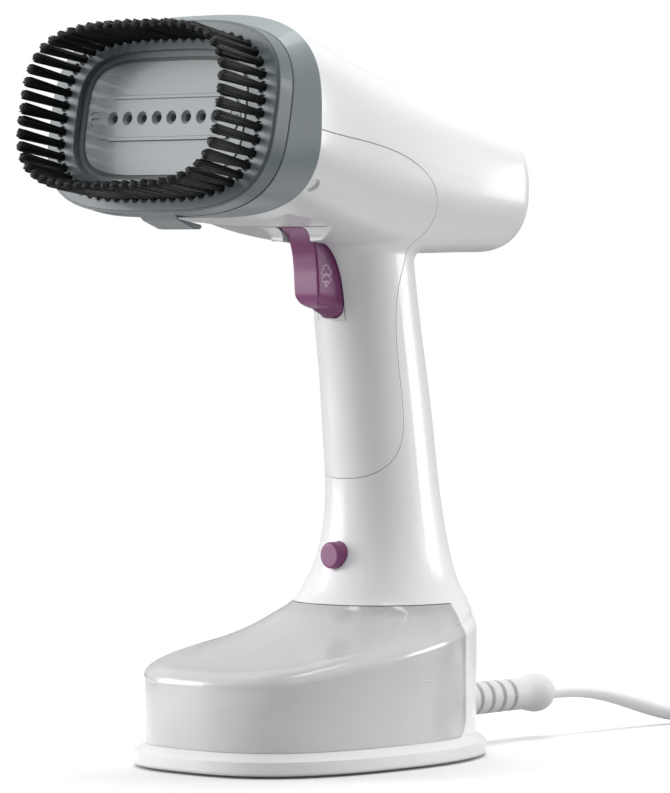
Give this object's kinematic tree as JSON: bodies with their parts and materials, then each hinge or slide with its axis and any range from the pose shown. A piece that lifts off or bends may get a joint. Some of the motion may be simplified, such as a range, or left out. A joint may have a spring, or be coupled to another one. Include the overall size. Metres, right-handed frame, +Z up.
{
  "type": "garment steamer",
  "caption": "Handheld garment steamer on a sliding water tank base, with a brushed steam head, trigger, release button and coiled mains cord.",
  "frame": {"origin": "middle of the anti-slip pad's underside, on the surface the steamer stands on, below the widest part of the base", "axes": "+Z up; -Y forwards, the way the steam face looks; +X to the right seen from the front camera side"},
  "size_m": [0.1801, 0.411, 0.296],
  "materials": {
    "white_housing": "gloss",
    "rubber_pad": "matt",
    "screws": "satin",
    "head_grey": "satin",
    "brush_grey": "satin",
    "plate_grey": "satin, coated",
    "bristles": "matt nylon",
    "silicone": "matt",
    "boiler_metal": "cast",
    "element_steel": "satin",
    "brass": "machined",
    "thermal": "matt",
    "inner_plastic": "satin",
    "black_plastic": "satin",
    "board": "satin",
    "tank_clear": "gloss, translucent",
    "tank_white": "satin",
    "purple": "satin gloss",
    "lamp": "gloss",
    "cord_white": "satin",
    "tie": "woven",
    "plug_metal": "polished"
  },
  "bodies": {
    "housing": {"rear_shell": "white_housing", "front_cover": "white_housing", "base_plate": "white_housing", "foot_pad": "rubber_pad", "base_screws": "screws", "head_ring": "head_grey", "steam_plate": "plate_grey", "plate_screws": "screws", "plate_seal": "silicone", "boiler_block": "boiler_metal", "heating_element": "element_steel", "boiler_inlet": "brass", "boiler_bracket": "element_steel", "bracket_screws": "screws", "thermostat": "thermal", "thermal_fuse": "thermal", "pump_body": "inner_plastic", "pump_coil": "black_plastic", "pump_mounts": "silicone", "feed_hose": "silicone", "suction_hose": "silicone", "coupling_nipple": "inner_plastic", "trigger_pin": "element_steel", "trigger_spring": "element_steel", "microswitch": "black_plastic", "switch_shelf": "inner_plastic", "latch_pin": "element_steel", "latch_spring": "element_steel", "control_board": "board", "board_components": "black_plastic", "lamp_lens": "lamp", "cord_clamp": "inner_plastic", "inner_cord": "cord_white", "lead_wires": "cord_white", "strain_relief": "cord_white", "mains_cord": "cord_white", "plug_lead": "cord_white", "cord_coil": "cord_white", "coil_tie": "tie", "plug_body": "cord_white", "plug_pins": "plug_metal"},
    "brush": {"brush_frame": "brush_grey", "bristle_tufts": "bristles"},
    "tank": {"tank_shell": "tank_clear", "tank_floor": "tank_white", "filler_stopper": "silicone", "valve_body": "inner_plastic", "valve_poppet": "inner_plastic", "valve_seal": "silicone", "pickup_tube": "inner_plastic"},
    "trigger": {"trigger": "purple"},
    "release_button": {"release_button": "purple"},
    "latch": {"latch_lever": "inner_plastic", "latch_tooth": "inner_plastic"},
    "plunger": {"switch_plunger": "black_plastic"}
  },
  "joints": [
    {"name": "brush_slide", "type": "slide", "parent": "housing", "child": "brush", "axis": [0, -0.9836, 0.1805], "range_m": [0, 0.03]},
    {"name": "tank_slide", "type": "slide", "parent": "housing", "child": "tank", "axis": [0, -1, 0], "range_m": [0, 0.12]},
    {"name": "trigger_hinge", "type": "hinge", "parent": "housing", "child": "trigger", "pos_m": [0, 0.001, 0.217], "axis": [1, 0, 0], "range_deg": [0, 7], "stiffness_Nm_per_rad": 1, "springref_deg": -11.46},
    {"name": "button_slide", "type": "slide", "parent": "housing", "child": "release_button", "axis": [0, 1, 0], "range_m": [0, 0.003], "stiffness_N_per_m": 600, "springref_m": -0.002},
    {"name": "latch_pivot", "type": "hinge", "parent": "housing", "child": "latch", "pos_m": [0, 0.0315, 0.07], "axis": [-1, 0, 0], "range_deg": [0, 15]},
    {"name": "plunger_slide", "type": "slide", "parent": "housing", "child": "plunger", "axis": [0, 1, 0], "range_m": [0, 0.0024]}
  ],
  "couplings": [
    {"joint": "latch_pivot", "follows": "button_slide", "rad_per_m": 84.7},
    {"joint": "plunger_slide", "follows": "trigger_hinge", "m_per_rad": 0.0188}
  ]
}
